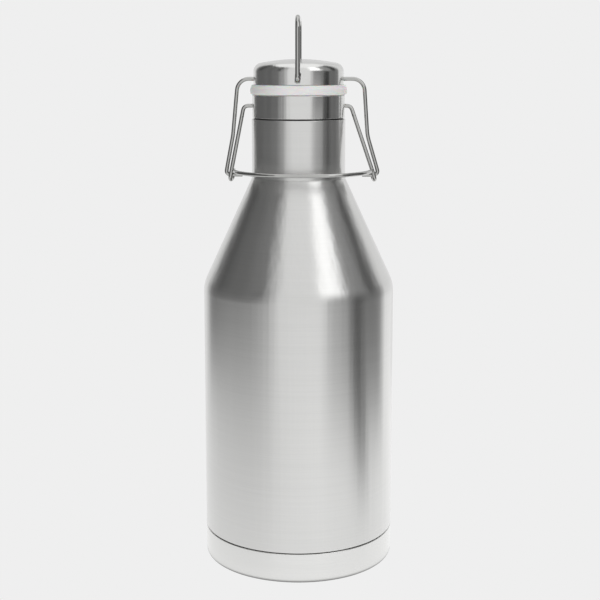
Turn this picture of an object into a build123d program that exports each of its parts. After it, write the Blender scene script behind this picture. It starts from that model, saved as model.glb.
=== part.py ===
"""Swing-top growler: a double-walled steel bottle for 64 US fluid ounces, a screw-on pouring
collar, a wire bail with a thumb lever, and an insulated lid with a carry loop.

Millimetres. The origin is the centre of the face the bottle stands on, +Z is up along the
bottle's axis and -Y is the front, where the thumb bar is.
"""

from build123d import *

import os
from math import asin, atan2, cos, degrees, pi, sqrt

# ---- driving dimensions: bottle ----
body_radius = 60.0
shell_wall = 0.7
cup_height = 18.9
seam_gap = 0.6
shoulder_z = 177.1
shoulder_blend = 22.0
neck_root_z = 243.9
neck_radius = 29.2
lip_z = 280.3
flask_wall = 0.6
flask_radius = 55.1
flask_floor_z = 13.0
flask_shoulder_z = 175.1
flask_neck_radius = 27.5
flask_neck_top_z = 264.0

# ---- driving dimensions: collar and thread ----
collar_z = 281.1
collar_top_z = 295.4
collar_radius = 28.9
collar_wall = 0.8
spout_radius = 22.6
mouth_radius = 26.2
insert_foot_z = 264.6
insert_radius = 25.1
thread_pitch = 4.0
thread_turns = 2.0
male_crest = 26.4
female_crest = 25.4
ring_bore = 26.6

# ---- driving dimensions: lid ----
gasket_radius = 30.0
gasket_top_z = 301.3
lid_radius = 28.1
lid_wall = 0.8
lid_top_z = 317.2
lid_dome = 3.3
lid_corner = 4.6
plug_foot_z = 291.4
plug_radius = 22.5

# ---- driving dimensions: wire forms ----
wire_diameter = 2.5
handle_diameter = 2.9
running_gap = 0.06
lever_pivot_z = 288.4
eye_z = 245.4
eye_radius = 3.1
eye_corner = 2.9
lid_pivot_z = 305.0
lever_corner_x = {-1: -34.1, 1: 32.5}
lever_foot_x = {-1: -43.1, 1: 48.2}
eye_steps = (1.3, 2.5, 3.7)
lever_bend = 3.0
bail_corner_x = {-1: -37.7, 1: 40.6}
bail_knee_x = {-1: -41.0, 1: 43.0}
bail_foot_x = {-1: -45.7, 1: 50.3}
bail_knee_z = 270.0
bail_bend = 7.5
knee_bend = 30.0
hook_bend = 2.2
hook_length = 10.1
thumb_depth = 38.0
thumb_drop = 0.5
handle_leg_y = 30.4
handle_top_z = 343.3
handle_end_bend = 2.2
handle_top_bend = 7.0

# ---- derived dimensions ----
wire_radius = wire_diameter / 2
handle_radius = handle_diameter / 2
shell_inner = body_radius - shell_wall
cone_slope = (body_radius - neck_radius) / (neck_root_z - shoulder_z)
cone_angle = atan2(body_radius - neck_radius, neck_root_z - shoulder_z)
shell_shift = shell_wall / cos(cone_angle)
flask_shift = flask_wall / cos(cone_angle)
flask_root_z = flask_shoulder_z + (flask_radius - flask_neck_radius) / cone_slope
wire_bore = wire_radius + running_gap
handle_bore = handle_radius + running_gap


def half_section(outline):
    """A closed half section from (radius, height, corner radius) points."""
    with BuildSketch() as section:
        with BuildLine():
            FilletPolyline(
                [(radius, height) for radius, height, _ in outline],
                radius=[corner for _, _, corner in outline],
                close=True,
            )
        make_face()
    return section.sketch


def cone_z(radius, foot_radius, foot_z, shift):
    """Height at which a cone wall's inner face, moved in by shift, has this radius."""
    return foot_z + (foot_radius - shift - radius) / cone_slope


def thread_ridge(root, crest, first_z, start_angle):
    """A helical ridge of trapezoid section, from a root radius to a crest radius."""
    root_half = 0.95
    crest_half = 0.45
    with BuildPart() as ridge:
        with BuildLine() as track:
            Helix(thread_pitch, thread_pitch * thread_turns, root, center=(0, 0, first_z))
        with BuildSketch(Plane(track.line @ 0, x_dir=(1, 0, 0), z_dir=track.line % 0)):
            with BuildLine():
                Polyline(
                    (0, -root_half),
                    (crest - root, -crest_half),
                    (crest - root, crest_half),
                    (0, root_half),
                    close=True,
                )
            make_face()
        sweep(path=track.line, is_frenet=True)
    return ridge.part.rotate(Axis.Z, start_angle)


def finish(piece, name):
    """Label a piece and write it to its own file."""
    piece.part.label = name
    export_step(piece.part, f"parts/{name}.step")
    print(name, "volume", round(piece.part.volume, 1))


os.makedirs("parts", exist_ok=True)

# ---- outer shell: one drawn tube with its shoulder, neck and stepped-in skirt ----
skirt_foot_z = 5.0
step_z = cup_height + seam_gap
skirt_radius = body_radius - shell_wall
with BuildPart() as outer_shell:
    with BuildSketch(Plane.XZ):
        add(
            half_section(
                [
                    (skirt_radius, skirt_foot_z, 0),
                    (skirt_radius, step_z, 0),
                    (body_radius, step_z, 0.5),
                    (body_radius, shoulder_z, shoulder_blend),
                    (neck_radius, neck_root_z, 4.0),
                    (neck_radius, lip_z, 0.3),
                    (neck_radius - shell_wall, lip_z, 0),
                    (
                        neck_radius - shell_wall,
                        cone_z(neck_radius - shell_wall, body_radius, shoulder_z, shell_shift),
                        4.0 + shell_wall,
                    ),
                    (
                        shell_inner,
                        cone_z(shell_inner, body_radius, shoulder_z, shell_shift),
                        shoulder_blend - shell_wall,
                    ),
                    (shell_inner, step_z + shell_wall, 0),
                    (skirt_radius - shell_wall, step_z + shell_wall, 0),
                    (skirt_radius - shell_wall, skirt_foot_z, 0),
                ]
            )
        )
    revolve(axis=Axis.Z)
finish(outer_shell, "outer_shell")

# ---- base cup: pressed over the skirt, it hides the weld and the vacuum seal ----
cup_inner = body_radius - 0.65
foot_width = 10.4
cup_recess = 2.4
with BuildPart() as base_cup:
    with BuildSketch(Plane.XZ):
        add(
            half_section(
                [
                    (0, cup_recess, 0),
                    (body_radius - foot_width - cup_recess, cup_recess, 0.5),
                    (body_radius - foot_width, 0, 0.5),
                    (body_radius, 0, 3.2),
                    (body_radius, cup_height, 0.35),
                    (cup_inner, cup_height, 0.2),
                    (cup_inner, shell_wall, 2.5),
                    (body_radius - foot_width + 0.3, shell_wall, 0.3),
                    (body_radius - foot_width - cup_recess + 0.3, cup_recess + shell_wall, 0.3),
                    (0, cup_recess + shell_wall, 0),
                ]
            )
        )
    revolve(axis=Axis.Z)
finish(base_cup, "base_cup")

# ---- shell bottom: disc welded into the skirt, with the dimple the air is drawn out of ----
disc_z = 5.2
dimple_rise = 2.0
dimple_radius = 4.0
vent_radius = 0.8
with BuildPart() as shell_bottom:
    with BuildSketch(Plane.XZ):
        add(
            half_section(
                [
                    (vent_radius, disc_z + dimple_rise, 0),
                    (dimple_radius, disc_z + dimple_rise, 0.4),
                    (dimple_radius + 2.5, disc_z, 0.4),
                    (skirt_radius - shell_wall - 0.05, disc_z, 0),
                    (skirt_radius - shell_wall - 0.05, disc_z + shell_wall, 0),
                    (dimple_radius + 2.1, disc_z + shell_wall, 0.4),
                    (dimple_radius - 0.4, disc_z + dimple_rise + shell_wall, 0.4),
                    (vent_radius, disc_z + dimple_rise + shell_wall, 0),
                ]
            )
        )
    revolve(axis=Axis.Z)
finish(shell_bottom, "shell_bottom")

# ---- vent seal: the bead that closes the vent under the disc ----
with BuildPart() as vent_seal:
    with BuildSketch(Plane.XZ):
        add(
            half_section(
                [
                    (0, disc_z + 1.0, 0),
                    (3.2, disc_z + 1.0, 0.4),
                    (3.6, disc_z + dimple_rise - 0.02, 0),
                    (vent_radius - 0.05, disc_z + dimple_rise - 0.02, 0),
                    (vent_radius - 0.05, disc_z + dimple_rise + 0.9, 0),
                    (0, disc_z + dimple_rise + 0.9, 0),
                ]
            )
        )
    revolve(axis=Axis.Z)
finish(vent_seal, "vent_seal")

# ---- getter tablet and its clip, in the vacuum space on the bottom disc ----
getter_x = 30.0
getter_radius = 5.0
getter_height = 2.4
clip_sheet = 0.4
clip_width = 6.0
clip_z = disc_z + shell_wall
with BuildPart() as getter:
    with BuildSketch(Plane.XY.offset(clip_z + clip_sheet + 0.02)):
        with Locations((getter_x, 0)):
            Circle(getter_radius)
    extrude(amount=getter_height)
    chamfer(getter.edges().filter_by(GeomType.CIRCLE), 0.3)
finish(getter, "getter")

clip_half = getter_radius + 0.1 + clip_sheet
clip_top = clip_sheet + getter_height + 0.1
lip_length = 2.4
with BuildPart() as getter_clip:
    with BuildSketch(Plane.XZ.offset(-clip_width / 2)):
        with BuildLine():
            Polyline(
                (getter_x - clip_half, clip_z),
                (getter_x + clip_half, clip_z),
                (getter_x + clip_half, clip_z + clip_top + clip_sheet),
                (getter_x + clip_half - lip_length, clip_z + clip_top + clip_sheet),
                (getter_x + clip_half - lip_length, clip_z + clip_top),
                (getter_x + clip_half - clip_sheet, clip_z + clip_top),
                (getter_x + clip_half - clip_sheet, clip_z + clip_sheet),
                (getter_x - clip_half + clip_sheet, clip_z + clip_sheet),
                (getter_x - clip_half + clip_sheet, clip_z + clip_top),
                (getter_x - clip_half + lip_length, clip_z + clip_top),
                (getter_x - clip_half + lip_length, clip_z + clip_top + clip_sheet),
                (getter_x - clip_half, clip_z + clip_top + clip_sheet),
                close=True,
            )
        make_face()
    extrude(amount=clip_width)
finish(getter_clip, "getter_clip")

# ---- inner flask: the wall that holds the beer ----
with BuildPart() as inner_flask:
    with BuildSketch(Plane.XZ):
        add(
            half_section(
                [
                    (0, flask_floor_z, 0),
                    (flask_radius, flask_floor_z, 8.0),
                    (flask_radius, flask_shoulder_z, shoulder_blend),
                    (flask_neck_radius, flask_root_z, 6.0),
                    (flask_neck_radius, flask_neck_top_z, 0),
                    (flask_neck_radius - flask_wall, flask_neck_top_z, 0),
                    (
                        flask_neck_radius - flask_wall,
                        cone_z(
                            flask_neck_radius - flask_wall,
                            flask_radius,
                            flask_shoulder_z,
                            flask_shift,
                        ),
                        6.0 + flask_wall,
                    ),
                    (
                        flask_radius - flask_wall,
                        cone_z(
                            flask_radius - flask_wall, flask_radius, flask_shoulder_z, flask_shift
                        ),
                        shoulder_blend - flask_wall,
                    ),
                    (flask_radius - flask_wall, flask_floor_z + flask_wall, 8.0 - flask_wall),
                    (0, flask_floor_z + flask_wall, 0),
                ]
            )
        )
    revolve(axis=Axis.Z)
finish(inner_flask, "inner_flask")

# ---- foil wrap: the radiation shield round the inner flask ----
foil_sheet = 0.2
foil_low_z = 24.0
foil_high_z = 166.0
with BuildPart() as foil_wrap:
    with BuildSketch(Plane.XY.offset(foil_low_z)):
        Circle(flask_radius + 0.1 + foil_sheet)
        Circle(flask_radius + 0.1, mode=Mode.SUBTRACT)
    extrude(amount=foil_high_z - foil_low_z)
finish(foil_wrap, "foil_wrap")

# ---- mouth ring: joins both walls at the lip and carries the female thread ----
female_first_z = 270.0
ridge_bite = 0.2
with BuildPart() as mouth_ring:
    with BuildSketch(Plane.XZ):
        add(
            half_section(
                [
                    (ring_bore, flask_neck_top_z, 0.4),
                    (neck_radius - shell_wall - 0.03, flask_neck_top_z, 0),
                    (neck_radius - shell_wall - 0.03, lip_z, 0),
                    (ring_bore, lip_z, 0.4),
                ]
            )
        )
    revolve(axis=Axis.Z)
    add(thread_ridge(ring_bore + ridge_bite, female_crest, female_first_z, 0))
finish(mouth_ring, "mouth_ring")

# ---- neck seal: flat ring between the bottle's lip and the collar ----
shoulder_face_z = collar_z + 0.3
seal_radius = 27.6
with BuildPart() as neck_seal:
    with BuildSketch(Plane.XY.offset(lip_z + 0.03)):
        Circle(seal_radius)
        Circle(insert_radius + 0.1, mode=Mode.SUBTRACT)
    extrude(amount=shoulder_face_z - lip_z - 0.06)
finish(neck_seal, "neck_seal")

# ---- spout insert: plastic core of the collar, with the male thread and the pouring mouth ----
male_first_z = female_first_z - thread_pitch / 2
insert_upper = collar_radius - collar_wall - 0.1
rim_radius = insert_upper - 0.7
rim_z = collar_top_z - 0.8
bore_depth_radius = 25.6
plug_floor_z = 290.2
throat_radius = 24.2
throat_low_z = 283.0
throat_high_z = 285.0
with BuildPart() as spout_insert:
    with BuildSketch(Plane.XZ):
        add(
            half_section(
                [
                    (spout_radius, insert_foot_z, 0.4),
                    (insert_radius, insert_foot_z, 0.4),
                    (insert_radius, shoulder_face_z, 0),
                    (insert_upper, shoulder_face_z, 0),
                    (insert_upper, rim_z, 0),
                    (rim_radius, rim_z, 0),
                    (rim_radius, collar_top_z - 0.05, 0),
                    (mouth_radius, collar_top_z - 0.05, 0.3),
                    (mouth_radius, plug_floor_z + 1.0, 0.3),
                    (throat_radius, plug_floor_z, 0.3),
                    (throat_radius, throat_high_z, 0.5),
                    (spout_radius, throat_low_z, 0.5),
                ]
            )
        )
    revolve(axis=Axis.Z)
    add(thread_ridge(insert_radius - ridge_bite, male_crest, male_first_z, 0))
    for side in (-1, 1):
        with Locations((side * (bore_depth_radius + 2.5), 0, lever_pivot_z)):
            Cylinder(wire_bore, 5.0, rotation=(0, 90, 0), mode=Mode.SUBTRACT)
finish(spout_insert, "spout_insert")

# ---- collar band: steel sleeve over the insert, drilled for the lever's ends ----
with BuildPart() as collar_band:
    with BuildSketch(Plane.XZ):
        add(
            half_section(
                [
                    (collar_radius - collar_wall, collar_z, 0),
                    (collar_radius, collar_z, 0.3),
                    (collar_radius, collar_top_z, 0.7),
                    (rim_radius + 0.05, collar_top_z, 0),
                    (rim_radius + 0.05, rim_z + 0.05, 0),
                    (collar_radius - collar_wall, rim_z + 0.05, 0),
                ]
            )
        )
    revolve(axis=Axis.Z)
    with Locations((0, 0, lever_pivot_z)):
        Cylinder(wire_bore, 2 * body_radius, rotation=(0, 90, 0), mode=Mode.SUBTRACT)
finish(collar_band, "collar_band")

# ---- lever wire: two arms, two eyes for the bail and the thumb bar between them ----
lever_tip = bore_depth_radius + 0.2


def lever_side(side):
    """Corners of one arm, from its tip in the collar to where the thumb bar begins."""
    foot = lever_foot_x[side]
    inner_foot, eye_head, bar_end = (foot - side * step for step in eye_steps)
    return [
        (side * lever_tip, 0, lever_pivot_z),
        (lever_corner_x[side], 0, lever_pivot_z),
        (foot, -eye_radius, eye_z - eye_radius),
        (inner_foot, eye_radius, eye_z - eye_radius),
        (eye_head, eye_radius, eye_z + eye_radius),
        (bar_end, -thumb_depth, eye_z + eye_radius - thumb_drop),
    ]


lever_bends = [lever_bend, eye_corner, eye_corner, eye_corner, thumb_depth - eye_corner]
with BuildPart() as lever_wire:
    with BuildLine() as lever_route:
        FilletPolyline(
            *lever_side(-1), *reversed(lever_side(1)), radius=lever_bends + lever_bends[::-1]
        )
    with BuildSketch(Plane(lever_route.line @ 0, z_dir=lever_route.line % 0)):
        Circle(wire_radius)
    sweep(path=lever_route.line)
finish(lever_wire, "lever_wire")

# ---- bail wire: across the lid, down both sides and hooked in through the lever's eyes ----
def bail_side(side):
    """Corners of one leg, from its hook's tip up to the bend beside the lid."""
    return [
        (bail_foot_x[side] - side * hook_length, 0, eye_z),
        (bail_foot_x[side], 0, eye_z),
        (bail_knee_x[side], 0, bail_knee_z),
        (bail_corner_x[side], 0, lid_pivot_z),
    ]


bail_bends = [hook_bend, knee_bend, bail_bend]

with BuildPart() as bail_wire:
    with BuildLine() as bail_route:
        FilletPolyline(
            *bail_side(-1), *reversed(bail_side(1)), radius=bail_bends + bail_bends[::-1]
        )
    with BuildSketch(Plane(bail_route.line @ 0, z_dir=bail_route.line % 0)):
        Circle(wire_radius)
    sweep(path=bail_route.line)
finish(bail_wire, "bail_wire")

# ---- lid shell: drawn steel cap with a slightly domed crown ----
lid_foot_z = gasket_top_z + 0.1
dome_radius = (lid_radius**2 + lid_dome**2) / (2 * lid_dome)
dome_centre_z = lid_top_z - dome_radius
lid_inner = lid_radius - lid_wall


def dome_z(radius, sphere_radius):
    """Height of a sphere about the dome's centre at this distance from the axis."""
    return dome_centre_z + sqrt(sphere_radius**2 - radius**2)


def dome_arc(radius, sphere_radius):
    """Quarter of the crown's section: the sphere from this radius in to the axis."""
    half_angle = degrees(asin(radius / sphere_radius))
    return CenterArc((0, dome_centre_z), sphere_radius, 90 - half_angle, half_angle)


outer_edge = (lid_radius, dome_z(lid_radius, dome_radius))
inner_edge = (lid_inner, dome_z(lid_inner, dome_radius - lid_wall))
outer_dome = dome_arc(lid_radius, dome_radius)
inner_dome = dome_arc(lid_inner, dome_radius - lid_wall)
with BuildPart() as lid_shell:
    with BuildSketch(Plane.XZ) as lid_section:
        with BuildLine():
            add(outer_dome)
            add(inner_dome)
            Line((0, lid_top_z), (0, lid_top_z - lid_wall))
            Polyline(outer_edge, (lid_radius, lid_foot_z), (lid_inner, lid_foot_z), inner_edge)
        make_face()
        fillet(lid_section.vertices().sort_by_distance(outer_edge)[0], lid_corner)
        fillet(lid_section.vertices().sort_by_distance(inner_edge)[0], lid_corner - lid_wall)
    revolve(axis=Axis.Z)
    with Locations((0, 0, lid_pivot_z)):
        Cylinder(wire_bore, 2 * body_radius, rotation=(0, 90, 0), mode=Mode.SUBTRACT)
        Cylinder(handle_bore, 2 * body_radius, rotation=(90, 0, 0), mode=Mode.SUBTRACT)
finish(lid_shell, "lid_shell")

# ---- lid core: plastic disc that carries the bail across the lid and the handle's ends ----
core_radius = lid_inner - 0.05
core_top_z = 309.0
handle_bore_radius = 21.5
with BuildPart() as lid_core:
    with BuildSketch(Plane.XY.offset(lid_foot_z)):
        Circle(core_radius)
    extrude(amount=core_top_z - lid_foot_z)
    with Locations((0, 0, lid_pivot_z)):
        Cylinder(wire_bore, 2 * body_radius, rotation=(0, 90, 0), mode=Mode.SUBTRACT)
    for side in (-1, 1):
        with Locations((0, side * (handle_bore_radius + 5), lid_pivot_z)):
            Cylinder(handle_bore, 10, rotation=(90, 0, 0), mode=Mode.SUBTRACT)
finish(lid_core, "lid_core")

# ---- lid insulation: foam disc under the crown ----
foam_top_z = 313.2
foam_corner = 3.0
with BuildPart() as lid_insulation:
    with BuildSketch(Plane.XY.offset(core_top_z + 0.02)):
        Circle(core_radius - 1.6)
    extrude(amount=foam_top_z - core_top_z - 0.02)
    fillet(lid_insulation.faces().sort_by(Axis.Z)[-1].edges(), foam_corner)
finish(lid_insulation, "lid_insulation")

# ---- lid plug: plastic underside that reaches into the mouth and holds the gasket ----
flange_radius = 23.9
flange_height = 1.1
with BuildPart() as lid_plug:
    with BuildSketch(Plane.XZ):
        add(
            half_section(
                [
                    (0, plug_foot_z + 1.2, 0),
                    (19.0, plug_foot_z + 1.2, 0.3),
                    (20.2, plug_foot_z, 0.3),
                    (flange_radius, plug_foot_z, 0.4),
                    (flange_radius, plug_foot_z + flange_height, 0.2),
                    (plug_radius, plug_foot_z + flange_height, 0),
                    (plug_radius, lid_foot_z - 0.02, 0),
                    (0, lid_foot_z - 0.02, 0),
                ]
            )
        )
    revolve(axis=Axis.Z)
finish(lid_plug, "lid_plug")

# ---- lid gasket: thick silicone ring, seen between the collar and the lid ----
seat_z = collar_top_z + 0.05
lip_radius = 24.1
seat_inner_radius = 24.4
seat_outer_radius = 29.5
gasket_head_radius = 29.0
with BuildPart() as lid_gasket:
    with BuildSketch(Plane.XZ):
        add(
            half_section(
                [
                    (plug_radius + 0.05, plug_foot_z + flange_height + 0.05, 0),
                    (lip_radius, plug_foot_z + flange_height + 0.05, 0.5),
                    (seat_inner_radius, seat_z, 0),
                    (seat_outer_radius, seat_z, 0.5),
                    (gasket_radius, seat_z + 1.2, 0.8),
                    (gasket_radius, gasket_top_z - 2.2, 1.6),
                    (gasket_head_radius, gasket_top_z, 0.7),
                    (plug_radius + 0.05, gasket_top_z, 0),
                ]
            )
        )
    revolve(axis=Axis.Z)
finish(lid_gasket, "lid_gasket")

# ---- handle wire: carry loop, with its ends turned into the front and back of the lid ----
handle_tip = handle_bore_radius + 0.3
handle_centre_top = handle_top_z - handle_radius
handle_bends = [handle_end_bend, handle_top_bend]
with BuildPart() as handle_wire:
    with BuildLine() as handle_route:
        FilletPolyline(
            (0, -handle_tip, lid_pivot_z),
            (0, -handle_leg_y, lid_pivot_z),
            (0, -handle_leg_y, handle_centre_top),
            (0, handle_leg_y, handle_centre_top),
            (0, handle_leg_y, lid_pivot_z),
            (0, handle_tip, lid_pivot_z),
            radius=handle_bends + handle_bends[::-1],
        )
    with BuildSketch(Plane(handle_route.line @ 0, z_dir=handle_route.line % 0)):
        Circle(handle_radius)
    sweep(path=handle_route.line)
finish(handle_wire, "handle_wire")

print("cone half angle", round(degrees(cone_angle), 2))
flask_bore = flask_radius - flask_wall
neck_bore = flask_neck_radius - flask_wall
cylinder_litres = pi * flask_bore**2 * (flask_shoulder_z - flask_floor_z) / 1e6
cone_litres = pi * (flask_root_z - flask_shoulder_z) / 3 / 1e6
cone_litres *= flask_bore**2 + flask_bore * neck_bore + neck_bore**2
neck_litres = pi * neck_bore**2 * (insert_foot_z - flask_root_z) / 1e6
print("capacity, litres", round(cylinder_litres + cone_litres + neck_litres, 3))
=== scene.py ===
# %% [markdown]
# # A swing-top steel growler
# The object is a double-walled steel bottle with a wire-bail lid. The imported model already holds
# every part at its real size and place, so this lesson only gives the parts their looks: finer
# surfaces where light slides over them, and a procedural finish for each material.
# The frame is loaded first, and its box is kept and printed at the end.

# %% Load the frame
from math import cos, pi, radians, sin, sqrt

import bmesh
import bpy
import numpy as np
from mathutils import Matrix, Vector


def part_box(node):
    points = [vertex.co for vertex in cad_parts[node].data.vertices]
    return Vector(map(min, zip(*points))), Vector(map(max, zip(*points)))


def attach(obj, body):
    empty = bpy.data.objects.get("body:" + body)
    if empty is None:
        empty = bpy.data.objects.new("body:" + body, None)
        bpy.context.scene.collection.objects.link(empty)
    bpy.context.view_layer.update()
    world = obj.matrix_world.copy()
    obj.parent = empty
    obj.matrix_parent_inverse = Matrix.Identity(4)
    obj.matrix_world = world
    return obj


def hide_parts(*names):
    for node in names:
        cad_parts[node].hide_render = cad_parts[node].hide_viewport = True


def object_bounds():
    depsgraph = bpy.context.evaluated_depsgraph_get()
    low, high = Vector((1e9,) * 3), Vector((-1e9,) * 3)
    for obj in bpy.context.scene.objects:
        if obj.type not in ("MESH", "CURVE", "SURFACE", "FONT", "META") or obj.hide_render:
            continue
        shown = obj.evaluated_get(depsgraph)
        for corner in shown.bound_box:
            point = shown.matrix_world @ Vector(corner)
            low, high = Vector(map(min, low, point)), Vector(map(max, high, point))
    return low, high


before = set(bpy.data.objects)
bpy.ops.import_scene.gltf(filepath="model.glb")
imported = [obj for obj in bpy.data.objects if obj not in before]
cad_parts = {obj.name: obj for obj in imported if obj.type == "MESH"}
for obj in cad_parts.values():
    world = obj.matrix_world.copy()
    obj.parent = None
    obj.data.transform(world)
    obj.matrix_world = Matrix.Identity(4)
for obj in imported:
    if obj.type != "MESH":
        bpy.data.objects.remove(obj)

cad_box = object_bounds()
mm = 0.001

# %% [markdown]
# ## Where things are
# Heights and radii come from the boxes of the CAD nodes, so a piece made here always lands where
# its node is. Only the places inside one node, such as the shoulder of the bottle, are named.

# %% Read the main places from the frame
cup_low, cup_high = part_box("base_cup")
shell_low, shell_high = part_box("outer_shell")
collar_low, collar_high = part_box("collar_band")
lid_low, lid_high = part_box("lid_shell")
gasket_low, gasket_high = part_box("lid_gasket")
handle_low, handle_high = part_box("handle_wire")

body_radius = cup_high.x
neck_radius = 29.2 * mm
shoulder_z = 177.1 * mm
shoulder_blend = 22.0 * mm
neck_root_z = 243.9 * mm
lip_z = shell_high.z
left, right = -1, 1
print("body radius", round(body_radius / mm, 2), "mm, lip at", round(lip_z / mm, 2), "mm")

# %% [markdown]
# ## The camera
# The bottle is seen from near the height of its lid, looking a little down, so the foot shows as
# a deep curve and the lid almost edge on. The film is dropped slightly, as on a view camera,
# which lets the camera tilt less and keeps the sides of the bottle closer to parallel. A level
# camera with all of the drop would keep them truly parallel, but it would lose the lid from any
# other side the bottle is looked at.

# %% Place the camera
camera_turn = radians(1.0)
camera_tilt = radians(9.02)
camera_distance = 0.7808
camera_height = 0.3145
film_drop = -0.065
aim_offset = 0.0009

camera_data = bpy.data.cameras.new("camera")
camera_data.lens = 74.71
camera_data.sensor_width = 36.0
camera_data.shift_y = film_drop
camera = bpy.data.objects.new("camera", camera_data)
camera.location = (
    camera_distance * sin(camera_turn) + aim_offset,
    -camera_distance * cos(camera_turn),
    camera_height,
)
camera.rotation_euler = (pi / 2 - camera_tilt, 0, camera_turn)
bpy.context.scene.collection.objects.link(camera)
bpy.context.scene.camera = camera
bpy.context.scene.view_settings.view_transform = "Standard"
print("camera at", [round(v, 3) for v in camera.location])

# %% [markdown]
# ## The studio
# Brushed steel shows its surroundings as soft upright bands, so the light is a set of cards stood
# in a ring round the bottle: a white wall behind the camera, one strong soft box high on the
# right, grey fills and black flags at the sides, and a white backdrop. They could be planes, but
# painted into the world by direction they are far away, cost nothing and never get in the way.
# Each card covers what is behind it, in the order of the list, so the room's own dim level comes
# first and the narrow flags, which draw the dark lines in the steel, near the end.

# %% Helpers for shader nodes


def node(tree, kind, inputs=None, **settings):
    """Add a shader node, set its properties, and fill or link its inputs by name or number."""
    made = tree.nodes.new(kind)
    for key, value in settings.items():
        setattr(made, key, value)
    for key, value in (inputs or {}).items():
        if isinstance(value, bpy.types.NodeSocket):
            tree.links.new(value, made.inputs[key])
        else:
            made.inputs[key].default_value = value
    return made


def math(tree, operation, *values):
    """One Math node; returns its result."""
    return node(tree, "ShaderNodeMath", dict(enumerate(values)), operation=operation).outputs[0]


def smooth_step(tree, value, low, high):
    """0 below low, 1 above high, an S-curve between; low may be above high to fall instead."""
    return node(
        tree,
        "ShaderNodeMapRange",
        {"Value": value, "From Min": low, "From Max": high},
        interpolation_type="SMOOTHSTEP",
    ).outputs["Result"]


def blend_value(tree, share, first, second):
    """Mix two numbers by a share."""
    made = node(tree, "ShaderNodeMix", {0: share, 2: first, 3: second}, data_type="FLOAT")
    return made.outputs[0]


# %% Paint the ring of cards into the world
backdrop_grey = 0.863
room_level = 0.15
edge_tilt = 3
inside_range = 0.99999  # keeps rounding errors from leaving the range of the arc cosine
# (azimuth, half width, edge softness, lowest and highest elevation, brightness), in degrees;
# azimuth 0 is the camera's side and 90 is to the right.
cards = [
    (171, 52, 11, -90, 90, 0.92),
    (138, 16, 6, -90, -8, 1.15),
    (-89, 7, 4, -90, 90, 0.17),
    (-57, 13, 6, -90, 90, 0.19),
    (-42, 8, 5, -90, 90, 0.36),
    (2.5, 34.5, 10, -90, 90, 0.97),
    (52, 13, 6, -90, 90, 0.19),
    (48, 13, 6, -10.5, -3.5, 0.80),
    (80, 14, 5, 10, 90, 0.36),
    (92, 9, 5, -90, 10, 0.19),
    (112, 8, 6, -90, 90, 0.21),
    (47, 16, 6, 16, 75, 1.85),
    (105, 6, 4, 10, 90, 0.03),
    (-49, 5, 4, 10, 90, 0.07),
    (-115, 7, 5, 10, 90, 0.07),
    (77, 6, 4, -90, 10, 0.03),
    (180, 32, 8, 2, 50, 0.80),
    (0, 180, 1, 55, 90, 1.20),
]

world = bpy.data.worlds.new("studio")
bpy.context.scene.world = world
world.use_nodes = True
tree = world.node_tree
tree.nodes.clear()
direction = node(tree, "ShaderNodeTexCoord").outputs["Generated"]
split = node(tree, "ShaderNodeSeparateXYZ", {0: direction})
azimuth = math(tree, "ARCTAN2", split.outputs["X"], math(tree, "MULTIPLY", split.outputs["Y"], -1.0))
elevation = math(tree, "ARCSINE", split.outputs["Z"])
level = room_level
for card_azimuth, half_width, soft, low, high, brightness in cards:
    away = math(tree, "COSINE", math(tree, "SUBTRACT", azimuth, radians(card_azimuth)))
    away = math(tree, "ARCCOSINE", math(tree, "MULTIPLY", away, inside_range))
    mask = smooth_step(tree, away, radians(half_width + soft), radians(half_width - soft))
    if low > -90:
        foot = smooth_step(tree, elevation, radians(low - edge_tilt), radians(low + edge_tilt))
        mask = math(tree, "MULTIPLY", mask, foot)
    if high < 90:
        head = smooth_step(tree, elevation, radians(high + edge_tilt), radians(high - edge_tilt))
        mask = math(tree, "MULTIPLY", mask, head)
    level = blend_value(tree, mask, level, brightness)
lit = node(tree, "ShaderNodeBackground", {"Color": level, "Strength": 1.0})
plain = node(tree, "ShaderNodeBackground", {"Color": (backdrop_grey,) * 3 + (1,), "Strength": 1.0})
seen = node(tree, "ShaderNodeLightPath").outputs["Is Camera Ray"]
shown = node(tree, "ShaderNodeMixShader", {0: seen, 1: lit.outputs[0], 2: plain.outputs[0]})
node(tree, "ShaderNodeOutputWorld", {"Surface": shown.outputs[0]})
print("studio ring of", len(cards), "cards")

# %% [markdown]
# ## The table
# The bottle stands on a pale table that meets the backdrop without a line. The table matters more
# than it seems: the lower half of the steel mirrors it, and only above that do the dark flags
# show. Its painted glow is a little brighter on the right, and its lit part ends sooner there, in a
# soft edge past which the room is seen instead. The shadow of a black flag on the right is painted
# across it as a dark stripe, and a painted ring of shade under the bottle draws the thin line at the
# foot. Lamps could light it, but a glow painted by place gives the same mirror image without noise.

# %% Make the table
table_size = 6.0
table_drop = 0.2 * mm

table_mesh = bpy.data.meshes.new("table")
half = table_size / 2
table_mesh.from_pydata(
    [(-half, -half, 0), (half, -half, 0), (half, half, 0), (-half, half, 0)], [], [(0, 1, 2, 3)]
)
table = bpy.data.objects.new("table", table_mesh)
table.location.z = cad_box[0].z - table_drop
bpy.context.scene.collection.objects.link(table)
print("table", table_size, "m wide")

# %% Paint the table by place
lit_radius = 0.42
lit_edge = 0.30
lean_to_right = 0.50
left_level = 0.97
right_level = 1.18
level_reach = 0.25
shade_low, shade_high = body_radius * 0.93, body_radius * 1.07
# The black flag's painted shadow: a dark wedge across the table towards the right.
flag_azimuth = radians(75)
flag_core, flag_rim = radians(4), radians(12)
flag_start, flag_full = 0.16, 0.34
flag_shadow_level = 0.05

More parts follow.
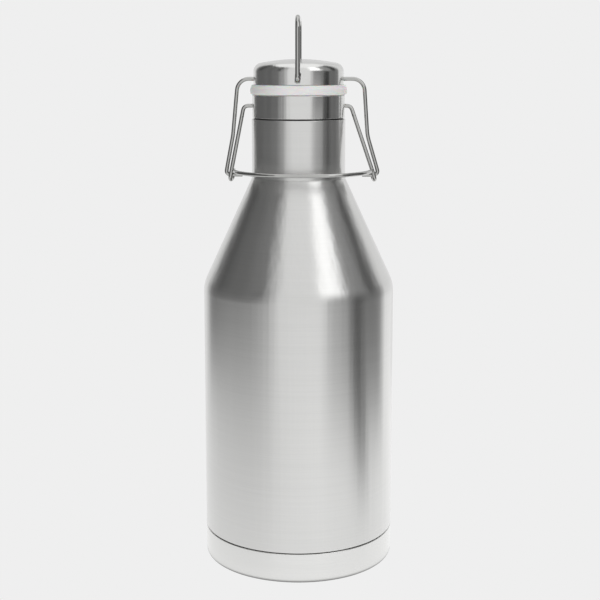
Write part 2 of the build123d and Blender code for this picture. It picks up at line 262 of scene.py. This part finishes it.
table_paint = bpy.data.materials.new("table_paint")
table_paint.use_nodes = True
tree = table_paint.node_tree
tree.nodes.clear()
place = node(tree, "ShaderNodeTexCoord").outputs["Object"]
radius = node(tree, "ShaderNodeVectorMath", {0: place}, operation="LENGTH").outputs["Value"]
split = node(tree, "ShaderNodeSeparateXYZ", {0: place}).outputs
sideways = split["X"]
reach = math(tree, "MULTIPLY_ADD", math(tree, "MAXIMUM", sideways, 0.0), lean_to_right, radius)
far = smooth_step(tree, reach, lit_radius, lit_radius + lit_edge)
to_right = smooth_step(tree, sideways, -level_reach, level_reach)
shade = blend_value(tree, to_right, left_level, right_level)
shade = math(tree, "MULTIPLY", shade, smooth_step(tree, radius, shade_low, shade_high))
# Painted shadow of the black flag, a dark wedge on the table that starts a little way out.
bearing = math(tree, "ARCTAN2", sideways, math(tree, "MULTIPLY", split["Y"], -1.0))
off_flag = math(tree, "ABSOLUTE", math(tree, "SUBTRACT", bearing, flag_azimuth))
stripe = smooth_step(tree, off_flag, flag_rim, flag_core)
stripe = math(tree, "MULTIPLY", stripe, smooth_step(tree, radius, flag_start, flag_full))
shade = blend_value(tree, stripe, shade, flag_shadow_level)
bounce = node(tree, "ShaderNodeEmission", {"Color": shade, "Strength": 1.0})
clear = node(tree, "ShaderNodeBsdfTransparent")
ending = node(tree, "ShaderNodeMixShader", {0: far, 1: bounce.outputs[0], 2: clear.outputs[0]})
flat = node(tree, "ShaderNodeEmission", {"Color": (backdrop_grey,) * 3 + (1,), "Strength": 1.0})
seen = node(tree, "ShaderNodeLightPath").outputs["Is Camera Ray"]
shown = node(tree, "ShaderNodeMixShader", {0: seen, 1: ending.outputs[0], 2: flat.outputs[0]})
node(tree, "ShaderNodeOutputMaterial", {"Surface": shown.outputs[0]})
table_mesh.materials.append(table_paint)
print("table lit out to", lit_radius, "m")

# %% [markdown]
# ## Turned shapes
# Shell, cup, collar, lid and gasket are all bodies of revolution. Blender's Screw modifier could
# spin a profile, but then the pattern coordinates would be guesswork. Worked out as a grid, every
# vertex knows its angle and its distance along the section, and both go into the UV map, where
# the brushed grain reads them.

# %% Rounded outlines and the lathe


def rounded(corners, closed, steps=14):
    """Points of a polyline whose corners are arcs. Each corner is (coordinates..., radius).

    The arc touches both runs at radius / tan(half the corner's angle) from the corner; its points
    swing from one touching point to the other about the centre on the corner's bisector.
    """
    points = np.array([corner[:-1] for corner in corners], float)
    sizes = [corner[-1] for corner in corners]
    count = len(points)
    pieces = []
    for i in range(count):
        end = not closed and i in (0, count - 1)
        if end or sizes[i] == 0:
            pieces.append(points[i : i + 1])
            continue
        back = points[i - 1] - points[i]
        ahead = points[(i + 1) % count] - points[i]
        back /= np.linalg.norm(back)
        ahead /= np.linalg.norm(ahead)
        half_angle = np.arccos(np.clip(back @ ahead, -1, 1)) / 2
        reach = sizes[i] / np.tan(half_angle)
        middle = (back + ahead) / np.linalg.norm(back + ahead)
        centre = points[i] + middle * sizes[i] / np.sin(half_angle)
        first = points[i] + back * reach - centre
        last = points[i] + ahead * reach - centre
        swing = pi - 2 * half_angle
        share = np.linspace(0, 1, steps)[:, None]
        arc = np.sin((1 - share) * swing) * first + np.sin(share * swing) * last
        pieces.append(centre + arc / np.sin(swing))
    return np.vstack(pieces)


def clean_mesh(piece):
    """Merge the doubled points at poles and make every face point outwards."""
    work = bmesh.new()
    work.from_mesh(piece.data)
    bmesh.ops.remove_doubles(work, verts=work.verts, dist=1e-6)
    bmesh.ops.recalc_face_normals(work, faces=work.faces)
    work.to_mesh(piece.data)
    work.free()
    piece.data.shade_smooth()


def grid_piece(name, points, across, along, closed_rows):
    """A mesh object from a grid of points (rows, columns, 3) whose columns wrap round.

    across[column] and along[row] are the UV coordinates; rows wrap too if closed_rows.
    """
    rows, columns = points.shape[:2]
    row = np.arange(rows if closed_rows else rows - 1)[:, None]
    column = np.arange(columns)[None, :]
    next_row = (row + 1) % rows
    next_column = (column + 1) % columns
    corners = [
        row * columns + column,
        row * columns + next_column,
        next_row * columns + next_column,
        next_row * columns + column,
    ]
    faces = np.stack(corners, axis=-1).reshape(-1, 4)
    mesh = bpy.data.meshes.new(name)
    mesh.from_pydata(points.reshape(-1, 3), [], faces)
    u_low, u_high = across[:-1][None, :], across[1:][None, :]
    v_low, v_high = along[: len(row)][:, None], along[1 : len(row) + 1][:, None]
    flat = np.zeros((len(row), columns))
    uv = [
        (u_low + flat, v_low + flat),
        (u_high + flat, v_low + flat),
        (u_high + flat, v_high + flat),
        (u_low + flat, v_high + flat),
    ]
    layer = mesh.uv_layers.new(name="grain")
    layer.data.foreach_set("uv", np.stack([np.stack(c, -1) for c in uv], 2).ravel())
    piece = bpy.data.objects.new(name, mesh)
    bpy.context.scene.collection.objects.link(piece)
    clean_mesh(piece)
    print(name, len(piece.data.polygons), "faces")
    return piece


def lathe(name, corners, segments=240):
    """Body of revolution about Z from a closed outline of (radius, height, corner radius).

    Point (i, j) is outline point i turned by angle j: x = r sin a, y = -r cos a, z = height.
    """
    outline = rounded(corners, closed=True)
    turn = np.linspace(0, 2 * pi, segments, endpoint=False)
    radius_column = outline[:, :1]
    points = np.stack(
        [
            radius_column * np.sin(turn),
            -radius_column * np.cos(turn),
            outline[:, 1:] + 0 * turn,
        ],
        axis=-1,
    )
    steps = np.linalg.norm(np.roll(outline, -1, axis=0) - outline, axis=1)
    along = np.concatenate([[0], np.cumsum(steps)])
    return grid_piece(name, points, np.linspace(0, 1, segments + 1), along, closed_rows=True)


# %% [markdown]
# ## Bent wire
# A wire form is a circle carried along a path. A curve object with a bevel would do it, but its
# grain would have no length to follow and its ends would be flat. Here the path is runs and bends
# joined and then smoothed a little, as wire is that was bent over pins, and the circle shrinks to
# a point at both tips in a short round nose.

# %% The wire sweeper


def smoothed_path(corners, step, spread):
    """Even points along rounded corners, averaged along the path with a bell curve of that spread."""
    rough = rounded(corners, closed=False)
    length = np.concatenate([[0], np.cumsum(np.linalg.norm(np.diff(rough, axis=0), axis=1))])
    count = int(length[-1] / step)
    even = np.linspace(0, length[-1], count)
    path = np.stack([np.interp(even, length, rough[:, k]) for k in range(3)], axis=1)
    reach = int(3 * spread / step)
    weights = np.exp(-0.5 * (np.arange(-reach, reach + 1) * step / spread) ** 2)
    weights /= weights.sum()
    before = path[0] - (path[1] - path[0]) * np.arange(reach, 0, -1)[:, None]
    after = path[-1] + (path[-1] - path[-2]) * np.arange(1, reach + 1)[:, None]
    padded = np.vstack([before, path, after])
    return np.stack([np.convolve(padded[:, k], weights, "valid") for k in range(3)], axis=1)


nose_rings = 6


def wire(name, corners, diameter, sides=20, step=0.4 * mm, spread=0.6 * mm):
    """Round bar along a path, with a nose at each tip.

    Each ring stands square to the path. Its first direction starts as any square direction, and
    the twist left between neighbouring rings is measured, summed along the path and taken out.
    """
    radius = diameter / 2
    path = smoothed_path(corners, step, spread)
    nose = np.linspace(0, pi / 2, nose_rings + 1)[1:]
    start, end = path[0] - path[1], path[-1] - path[-2]
    start /= np.linalg.norm(start)
    end /= np.linalg.norm(end)
    nose_length = 0.5 * radius * np.sin(nose)[:, None]
    path = np.vstack([(path[0] + start * nose_length)[::-1], path, path[-1] + end * nose_length])
    shrink = np.cos(nose)
    size = radius * np.concatenate([shrink[::-1], np.ones(len(path) - 2 * nose_rings), shrink])

    tangent = np.gradient(path, axis=0)
    tangent /= np.linalg.norm(tangent, axis=1)[:, None]
    smallest = np.argmin(np.abs(tangent), axis=1)
    normal = np.cross(tangent, np.eye(3)[smallest])
    normal /= np.linalg.norm(normal, axis=1)[:, None]
    carried = normal[:-1] - tangent[1:] * np.sum(normal[:-1] * tangent[1:], axis=1)[:, None]
    carried /= np.linalg.norm(carried, axis=1)[:, None]
    side = np.cross(tangent[1:], carried)
    twist = np.arctan2(np.sum(normal[1:] * side, axis=1), np.sum(normal[1:] * carried, axis=1))
    undo = -np.concatenate([[0], np.cumsum(twist)])[:, None]
    binormal = np.cross(tangent, normal)
    straight = np.cos(undo) * normal + np.sin(undo) * binormal
    other = np.cross(tangent, straight)

    turn = np.linspace(0, 2 * pi, sides, endpoint=False)[None, :, None]
    ring = np.cos(turn) * straight[:, None, :] + np.sin(turn) * other[:, None, :]
    points = path[:, None, :] + size[:, None, None] * ring
    along = np.concatenate([[0], np.cumsum(np.linalg.norm(np.diff(path, axis=0), axis=1))])
    return grid_piece(name, points, np.linspace(0, 1, sides + 1), along, closed_rows=False)


# %% [markdown]
# ## Brushed grain
# The steel was finished with an abrasive belt while it turned, which leaves thousands of fine
# rings. Several materials use them, so the rings are a node group. Noise is read at a point whose
# place round the axis hardly moves it while its place along the section moves it fast, so the
# pattern stretches into rings. The long direction still varies a little, so the rings break up.
# The tube is also not quite round, so a second noise, drawn out along the axis, gives ripples
# that stand upright and unsettle the reflections a little.

# %% Node group: brushed rings


def group_inputs(tree, **defaults):
    """Give a node group its number inputs and return the sockets inside it."""
    for name, value in defaults.items():
        socket = tree.interface.new_socket(name, in_out="INPUT", socket_type="NodeSocketFloat")
        socket.default_value = value
    return tree.nodes.new("NodeGroupInput").outputs


def group_outputs(tree, **results):
    """Give a node group its outputs and link them."""
    for name in results:
        tree.interface.new_socket(name, in_out="OUTPUT", socket_type="NodeSocketFloat")
    out = tree.nodes.new("NodeGroupOutput")
    for name, value in results.items():
        tree.links.new(value, out.inputs[name])


def noise(tree, vector, scale, detail=2.0, roughness=0.5):
    """Noise from 0 to 1 at a vector."""
    inputs = {"Vector": vector, "Scale": scale, "Detail": detail, "Roughness": roughness}
    return node(tree, "ShaderNodeTexNoise", inputs).outputs["Fac"]


coarse_scale = 0.23
coarse_share = 0.4
drawn_out = (1, 1, 0.02)
rings = bpy.data.node_groups.new("brushed_rings", "ShaderNodeTree")
given = group_inputs(
    rings,
    Rings_per_metre=2600.0,
    Breaks_per_metre=22.0,
    Patches_per_metre=9.0,
    Ripples_per_metre=170.0,
)
place = node(rings, "ShaderNodeTexCoord").outputs["Object"]
where = node(rings, "ShaderNodeSeparateXYZ", {0: place}).outputs
section = node(rings, "ShaderNodeUVMap", uv_map="grain").outputs[0]
section_length = node(rings, "ShaderNodeSeparateXYZ", {0: section}).outputs["Y"]
stretched = node(
    rings,
    "ShaderNodeCombineXYZ",
    {
        0: math(rings, "MULTIPLY", where["X"], given["Breaks_per_metre"]),
        1: math(rings, "MULTIPLY", where["Y"], given["Breaks_per_metre"]),
        2: math(rings, "MULTIPLY", section_length, given["Rings_per_metre"]),
    },
).outputs[0]
fine = noise(rings, stretched, 1.0, detail=3.0, roughness=0.6)
coarse = noise(rings, stretched, coarse_scale, detail=2.0)
patches = noise(rings, place, given["Patches_per_metre"], detail=2.0)
lines = blend_value(rings, coarse_share, fine, coarse)
upright = node(rings, "ShaderNodeVectorMath", {0: place, 1: drawn_out}, operation="MULTIPLY")
ripples = noise(rings, upright.outputs[0], given["Ripples_per_metre"], detail=2.0)
group_outputs(rings, Lines=lines, Patches=patches, Ripples=ripples)
print("node group", rings.name)

# %% [markdown]
# ## The finishes
# Each material keeps its own shader, and takes only masks from the group. Brushed steel is a
# metal whose highlight is drawn out square to the rings: that is the Anisotropic value, turned a
# quarter because the UV map's first direction runs round the axis. A plain rough metal would be
# simpler, but it blurs the cards sideways too and the upright bands would be lost.

# %% Helpers for materials


def new_material(name):
    """An empty node material and its tree."""
    made = bpy.data.materials.new(name)
    made.use_nodes = True
    made.node_tree.nodes.clear()
    return made, made.node_tree


def finish_material(tree, shader):
    """Link a shader to the material's output."""
    node(tree, "ShaderNodeOutputMaterial", {"Surface": shader.outputs[0]})


def ranged(tree, value, low, high):
    """Stretch noise, which stays near a half, to run from low to high."""
    return node(
        tree,
        "ShaderNodeMapRange",
        {"Value": value, "From Min": 0.3, "From Max": 0.7, "To Min": low, "To Max": high},
    ).outputs["Result"]


def tinted(tree, value, tint):
    """A grey value times a colour."""
    made = node(
        tree,
        "ShaderNodeMix",
        {0: 1.0, 6: tint, 7: value},
        data_type="RGBA",
        blend_type="MULTIPLY",
    )
    return made.outputs[2]


def brushed_steel(name, grey, roughness, anisotropy, rings_per_metre, bump, ripple):
    """Steel with a brushed finish round the axis, and faint ripples that stand along it."""
    made, tree = new_material(name)
    grain = node(tree, "ShaderNodeGroup", node_tree=rings)
    grain.inputs["Rings_per_metre"].default_value = rings_per_metre
    lines, patches = grain.outputs["Lines"], grain.outputs["Patches"]
    shade = math(tree, "MULTIPLY", ranged(tree, lines, 0.94, 1.0), ranged(tree, patches, 0.985, 1.0))
    tangent = node(tree, "ShaderNodeTangent", direction_type="UV_MAP", uv_map="grain")
    ripples = grain.outputs["Ripples"]
    wavy = node(tree, "ShaderNodeBump", {"Height": ripples, "Strength": 1.0, "Distance": ripple})
    height = node(
        tree,
        "ShaderNodeBump",
        {"Height": lines, "Strength": bump, "Distance": 0.02 * mm, "Normal": wavy.outputs[0]},
    )
    shader = node(
        tree,
        "ShaderNodeBsdfPrincipled",
        {
            "Base Color": tinted(tree, shade, (grey, grey, grey * 0.985, 1)),
            "Metallic": 1.0,
            "Roughness": ranged(tree, lines, roughness - 0.012, roughness + 0.012),
            "Anisotropic": anisotropy,
            "Anisotropic Rotation": 0.25,
            "Tangent": tangent.outputs[0],
            "Normal": height.outputs[0],
        },
    )
    finish_material(tree, shader)
    return made


# %% Steel, wire, silicone, plastic and the hidden materials
shell_steel = brushed_steel("shell_brushed_steel", 0.66, 0.30, 0.75, 2600.0, 0.03, 0.16 * mm)
cup_steel = brushed_steel("cup_brushed_steel", 0.72, 0.26, 0.75, 2600.0, 0.03, 0.08 * mm)
collar_steel = brushed_steel("collar_brushed_steel", 0.67, 0.20, 0.7, 3200.0, 0.04, 0.25 * mm)
lid_steel = brushed_steel("lid_brushed_steel", 0.69, 0.20, 0.6, 3200.0, 0.04, 0.15 * mm)
print("brushed finishes ready")


def wire_steel():
    """Polished stainless wire with faint drawing lines along it."""
    made, tree = new_material("polished_wire")
    section = node(tree, "ShaderNodeUVMap", uv_map="grain").outputs[0]
    stretched = node(tree, "ShaderNodeVectorMath", {0: section, 1: (30, 160, 1)}, operation="MULTIPLY")
    lines = noise(tree, stretched.outputs[0], 1.0, detail=3.0)
    shader = node(
        tree,
        "ShaderNodeBsdfPrincipled",
        {
            "Base Color": tinted(tree, ranged(tree, lines, 0.94, 1.0), (0.44, 0.44, 0.43, 1)),
            "Metallic": 1.0,
            "Roughness": ranged(tree, lines, 0.05, 0.09),
        },
    )
    finish_material(tree, shader)
    return made


def silicone_rubber():
    """Frosted white silicone: soft, slightly see-through, with a dusty face."""
    made, tree = new_material("frosted_silicone")
    place = node(tree, "ShaderNodeTexCoord").outputs["Object"]
    frost = noise(tree, place, 900.0, detail=4.0, roughness=0.6)
    cloud = noise(tree, place, 60.0, detail=2.0)
    height = node(tree, "ShaderNodeBump", {"Height": frost, "Strength": 0.15, "Distance": 0.05 * mm})
    shader = node(
        tree,
        "ShaderNodeBsdfPrincipled",
        {
            "Base Color": tinted(tree, ranged(tree, cloud, 0.95, 1.0), (0.92, 0.92, 0.91, 1)),
            "Roughness": ranged(tree, frost, 0.42, 0.55),
            "Subsurface Weight": 0.45,
            "Subsurface Scale": 2.0 * mm,
            "Normal": height.outputs[0],
        },
    )
    finish_material(tree, shader)
    return made


def plain_finish(name, color, metallic, rough_low, rough_high, scale, bump):
    """A quiet finish for parts that are seen only when the growler is open or taken apart."""
    made, tree = new_material(name)
    place = node(tree, "ShaderNodeTexCoord").outputs["Object"]
    grain = noise(tree, place, scale, detail=4.0, roughness=0.6)
    cloud = noise(tree, place, scale * 0.08, detail=2.0)
    height = node(tree, "ShaderNodeBump", {"Height": grain, "Strength": bump, "Distance": 0.05 * mm})
    shader = node(
        tree,
        "ShaderNodeBsdfPrincipled",
        {
            "Base Color": tinted(tree, ranged(tree, cloud, 0.88, 1.0), tuple(color) + (1,)),
            "Metallic": metallic,
            "Roughness": ranged(tree, grain, rough_low, rough_high),
            "Normal": height.outputs[0],
        },
    )
    finish_material(tree, shader)
    return made


polished_wire = wire_steel()
frosted_silicone = silicone_rubber()
black_plastic = plain_finish("moulded_plastic", (0.035, 0.035, 0.037), 0.0, 0.38, 0.50, 1400.0, 0.2)
seal_rubber = plain_finish("seal_rubber", (0.025, 0.025, 0.025), 0.0, 0.60, 0.75, 900.0, 0.2)
satin_steel = plain_finish("satin_steel", (0.60, 0.60, 0.59), 1.0, 0.26, 0.36, 700.0, 0.05)
bright_foil = plain_finish("bright_foil", (0.85, 0.85, 0.85), 1.0, 0.12, 0.25, 150.0, 0.4)
cast_bead = plain_finish("cast_bead", (0.55, 0.56, 0.57), 1.0, 0.35, 0.50, 500.0, 0.3)
sintered_grey = plain_finish("sintered_grey", (0.16, 0.16, 0.17), 0.3, 0.70, 0.85, 1500.0, 0.5)
rigid_foam = plain_finish("rigid_foam", (0.83, 0.80, 0.70), 0.0, 0.80, 0.95, 1200.0, 0.6)
print("all finishes ready")

# %% [markdown]
# ## Putting a piece on its body
# Every new piece rides on a body and gets its material, and the node that it replaces is hidden.
# One helper does all three, so that none is forgotten.

# %% Helper: dress a body


def stands_for(piece, cad_node, body, material):
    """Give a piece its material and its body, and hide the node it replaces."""
    piece.data.materials.clear()
    piece.data.materials.append(material)
    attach(piece, body)
    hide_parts(cad_node)
    return piece


def drill(piece, corners, diameter):
    """Cut a straight round hole through a piece and give the result back as plain mesh."""
    cutter = wire("drill", corners, diameter, sides=32, step=2.0 * mm, spread=0.5 * mm)
    cut = piece.modifiers.new("drill", "BOOLEAN")
    cut.operation = "DIFFERENCE"
    cut.solver = "EXACT"
    cut.object = cutter
    seen_by = bpy.context.evaluated_depsgraph_get()
    mesh = bpy.data.meshes.new_from_object(piece.evaluated_get(seen_by))
    piece.modifiers.clear()
    piece.data = mesh
    bpy.data.objects.remove(cutter)
    piece.data.shade_smooth()


# %% [markdown]
# ## The bottle
# One tube of steel is drawn to a shoulder, a cone and a neck. The shoulder is a soft bend and the
# foot of the neck a tight one. Below the body, a cup is pushed over the stepped-in skirt, and the
# shadow in the gap between them is the dark line near the floor.

# %% Outer shell
wall = 0.7 * mm
skirt_radius = body_radius - wall
seam_z = cup_high.z + 0.6 * mm
cone_slope = (body_radius - neck_radius) / (neck_root_z - shoulder_z)
inner_shift = wall * sqrt(1 + cone_slope**2)


def inner_cone_z(radius):
    """Height at which the cone's inner face has this radius."""
    return shoulder_z + (body_radius - inner_shift - radius) / cone_slope


neck_inner = neck_radius - wall
outer_shell = lathe(
    "bottle_shell",
    [
        (skirt_radius, shell_low.z, 0),
        (skirt_radius, seam_z, 0),
        (body_radius, seam_z, 0.45 * mm),
        (body_radius, shoulder_z, shoulder_blend),
        (neck_radius, neck_root_z, 4 * mm),
        (neck_radius, lip_z, 0.3 * mm),
        (neck_inner, lip_z, 0),
        (neck_inner, inner_cone_z(neck_inner), 4.7 * mm),
        (skirt_radius, inner_cone_z(skirt_radius), shoulder_blend - wall),
        (skirt_radius, seam_z + wall, 0),
        (skirt_radius - wall, seam_z + wall, 0),
        (skirt_radius - wall, shell_low.z, 0),
    ],
)
stands_for(outer_shell, "outer_shell", "bottle", shell_steel)

# %% Base cup
foot_width = 10.4 * mm
recess = 2.4 * mm
cup_inner = body_radius - 0.65 * mm
base_cup = lathe(
    "bottle_cup",
    [
        (0, recess, 0),
        (body_radius - foot_width - recess, recess, 0.5 * mm),
        (body_radius - foot_width, 0, 0.5 * mm),
        (body_radius, 0, 3.2 * mm),
        (body_radius, cup_high.z, 0.35 * mm),
        (cup_inner, cup_high.z, 0.2 * mm),
        (cup_inner, wall, 2.5 * mm),
        (body_radius - foot_width + 0.3 * mm, wall, 0.3 * mm),
        (body_radius - foot_width - recess + 0.3 * mm, recess + wall, 0.3 * mm),
        (0, recess + wall, 0),
    ],
)
stands_for(base_cup, "base_cup", "bottle", cup_steel)

# %% [markdown]
# ## Collar, gasket and lid
# The collar is a steel band over the plastic spout. The white ring above it is the gasket, the
# softest and roundest form here. The lid is a drawn cap with a low, rounded crown. Band and cap
# are drilled where the wires go in, a little wider than the wire, so a dark ring shows round it.

# %% Collar band
collar_radius = collar_high.x
collar_inner = collar_radius - 0.8 * mm
rim_radius = 27.35 * mm
rim_z = collar_high.z - 0.75 * mm
hole_play = 0.35 * mm
wire_size = 2.5 * mm
handle_size = 2.9 * mm
lever_z = 288.4 * mm
pivot_z = 305.0 * mm
collar_band = lathe(
    "collar_sleeve",
    [
        (collar_inner, collar_low.z, 0),
        (collar_radius, collar_low.z, 0.3 * mm),
        (collar_radius, collar_high.z, 0.7 * mm),
        (rim_radius, collar_high.z, 0),
        (rim_radius, rim_z, 0),
        (collar_inner, rim_z, 0),
    ],
)
for side in (left, right):
    hole = [(side * 26 * mm, 0, lever_z, 0), (side * 32 * mm, 0, lever_z, 0)]
    drill(collar_band, hole, wire_size + hole_play)
stands_for(collar_band, "collar_band", "collar", collar_steel)

# %% Gasket
gasket_radius = gasket_high.x
seat_z = collar_high.z + 0.05 * mm
plug_wall = 22.55 * mm
gasket = lathe(
    "gasket_ring",
    [
        (plug_wall, gasket_low.z, 0),
        (24.1 * mm, gasket_low.z, 0.5 * mm),
        (24.4 * mm, seat_z, 0),
        (29.5 * mm, seat_z, 0.5 * mm),
        (gasket_radius, seat_z + 1.2 * mm, 0.8 * mm),
        (gasket_radius, gasket_high.z - 2.2 * mm, 1.6 * mm),
        (29.0 * mm, gasket_high.z, 0.7 * mm),
        (plug_wall, gasket_high.z, 0),
    ],
)
stands_for(gasket, "lid_gasket", "lid", frosted_silicone)

# %% Lid shell
lid_radius = lid_high.x
lid_wall = 0.8 * mm
lid_corner = 5.6 * mm
dome = 3.3 * mm
dome_steps = 9


def dome_points(radius, drop):
    """Points of the crown's section, from near its edge in to the axis: a shallow parabola."""
    radii = np.linspace(1, 0, dome_steps) * (radius - lid_corner - 0.6 * mm)
    return [(r, lid_high.z - drop - dome * (r / lid_radius) ** 2, 0) for r in radii]


lid_shell = lathe(
    "lid_cap",
    [
        (lid_radius, lid_low.z, 0.2 * mm),
        (lid_radius, lid_high.z - dome, lid_corner),
        *dome_points(lid_radius, 0),
        *reversed(dome_points(lid_radius - lid_wall, lid_wall)),
        (lid_radius - lid_wall, lid_high.z - dome - lid_wall, lid_corner - lid_wall),
        (lid_radius - lid_wall, lid_low.z, 0.2 * mm),
    ],
)
for side in (left, right):
    hole = [(side * 25 * mm, 0, pivot_z, 0), (side * 31 * mm, 0, pivot_z, 0)]
    drill(lid_shell, hole, wire_size + hole_play)
    hole = [(0, side * 25 * mm, pivot_z, 0), (0, side * 31 * mm, pivot_z, 0)]
    drill(lid_shell, hole, handle_size + hole_play)
stands_for(lid_shell, "lid_shell", "lid", lid_steel)

# %% [markdown]
# ## The wires
# Three forms are bent from stainless wire. The lever starts in the collar, runs down and out to an
# eye on each side, and goes round the neck as the thumb bar. The bail crosses the lid, runs down
# and hooks into the eyes. The handle is a plain loop. Their routes are short lists of corners,
# the same as in the CAD. Left and right differ a little, as they do on a form bent by hand.

# %% Lever
eye_z = 245.4 * mm
eye_size = 3.1 * mm
eye_corner = 2.9 * mm
eye_steps = np.array([1.3, 2.5, 3.7]) * mm
lever_corner = {left: -34.1 * mm, right: 32.5 * mm}
lever_foot = {left: -43.1 * mm, right: 48.2 * mm}
thumb_depth = 38.0 * mm
thumb_drop = 0.5 * mm


def lever_side(side):
    """Corners of one arm, from its tip in the collar to where the thumb bar begins."""
    inner_foot, eye_head, bar_end = lever_foot[side] - side * eye_steps
    return [
        (side * 25.8 * mm, 0, lever_z, 0),
        (lever_corner[side], 0, lever_z, 3.0 * mm),
        (lever_foot[side], -eye_size, eye_z - eye_size, eye_corner),
        (inner_foot, eye_size, eye_z - eye_size, eye_corner),
        (eye_head, eye_size, eye_z + eye_size, eye_corner),
        (bar_end, -thumb_depth, eye_z + eye_size - thumb_drop, thumb_depth - eye_corner),
    ]


lever = wire("lever_form", lever_side(left) + lever_side(right)[::-1], wire_size)
stands_for(lever, "lever_wire", "lever", polished_wire)

# %% Bail
bail_foot = {left: -45.7 * mm, right: 50.3 * mm}
bail_knee = {left: -41.0 * mm, right: 43.0 * mm}
bail_corner = {left: -37.7 * mm, right: 40.6 * mm}
knee_z = 270.0 * mm
hook_length = 10.1 * mm


def bail_side(side):
    """Corners of one leg, from its hook's tip up to the bend beside the lid."""
    return [
        (bail_foot[side] - side * hook_length, 0, eye_z, 0),
        (bail_foot[side], 0, eye_z, 2.2 * mm),
        (bail_knee[side], 0, knee_z, 30 * mm),
        (bail_corner[side], 0, pivot_z, 7.5 * mm),
    ]


bail = wire("bail_form", bail_side(left) + bail_side(right)[::-1], wire_size)
stands_for(bail, "bail_wire", "bail", polished_wire)

# %% Handle
handle_leg = handle_high.y - handle_size / 2
handle_top = handle_high.z - handle_size / 2
handle_tip = 21.8 * mm
end_bend = 2.2 * mm
top_bend = 7.0 * mm
handle = wire(
    "handle_loop",
    [
        (0, -handle_tip, pivot_z, 0),
        (0, -handle_leg, pivot_z, end_bend),
        (0, -handle_leg, handle_top, top_bend),
        (0, handle_leg, handle_top, top_bend),
        (0, handle_leg, pivot_z, end_bend),
        (0, handle_tip, pivot_z, 0),
    ],
    handle_size,
    sides=24,
)
stands_for(handle, "handle_wire", "handle", polished_wire)

# %% [markdown]
# ## The parts that stay as they are
# The remaining CAD nodes already have the right shape. They are inside the bottle or seen only
# when it is open, so each just gets its own finish in place of the plain one it came with.

# %% Finish the remaining nodes
finishes = {
    "shell_bottom": satin_steel,
    "inner_flask": satin_steel,
    "mouth_ring": satin_steel,
    "getter_clip": satin_steel,
    "foil_wrap": bright_foil,
    "vent_seal": cast_bead,
    "getter": sintered_grey,
    "neck_seal": seal_rubber,
    "spout_insert": black_plastic,
    "lid_core": black_plastic,
    "lid_plug": black_plastic,
    "lid_insulation": rigid_foam,
}
for name, material in finishes.items():
    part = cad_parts[name]
    part.data.materials.clear()
    part.data.materials.append(material)
print("finished", len(finishes), "nodes in place")

# %% [markdown]
# ## Finish
# The visual model must be as large as the CAD model, so the CAD model's box is printed.

# %% Print the CAD box and finish
print("cad", [[round(c, 4) for c in v] for v in cad_box])
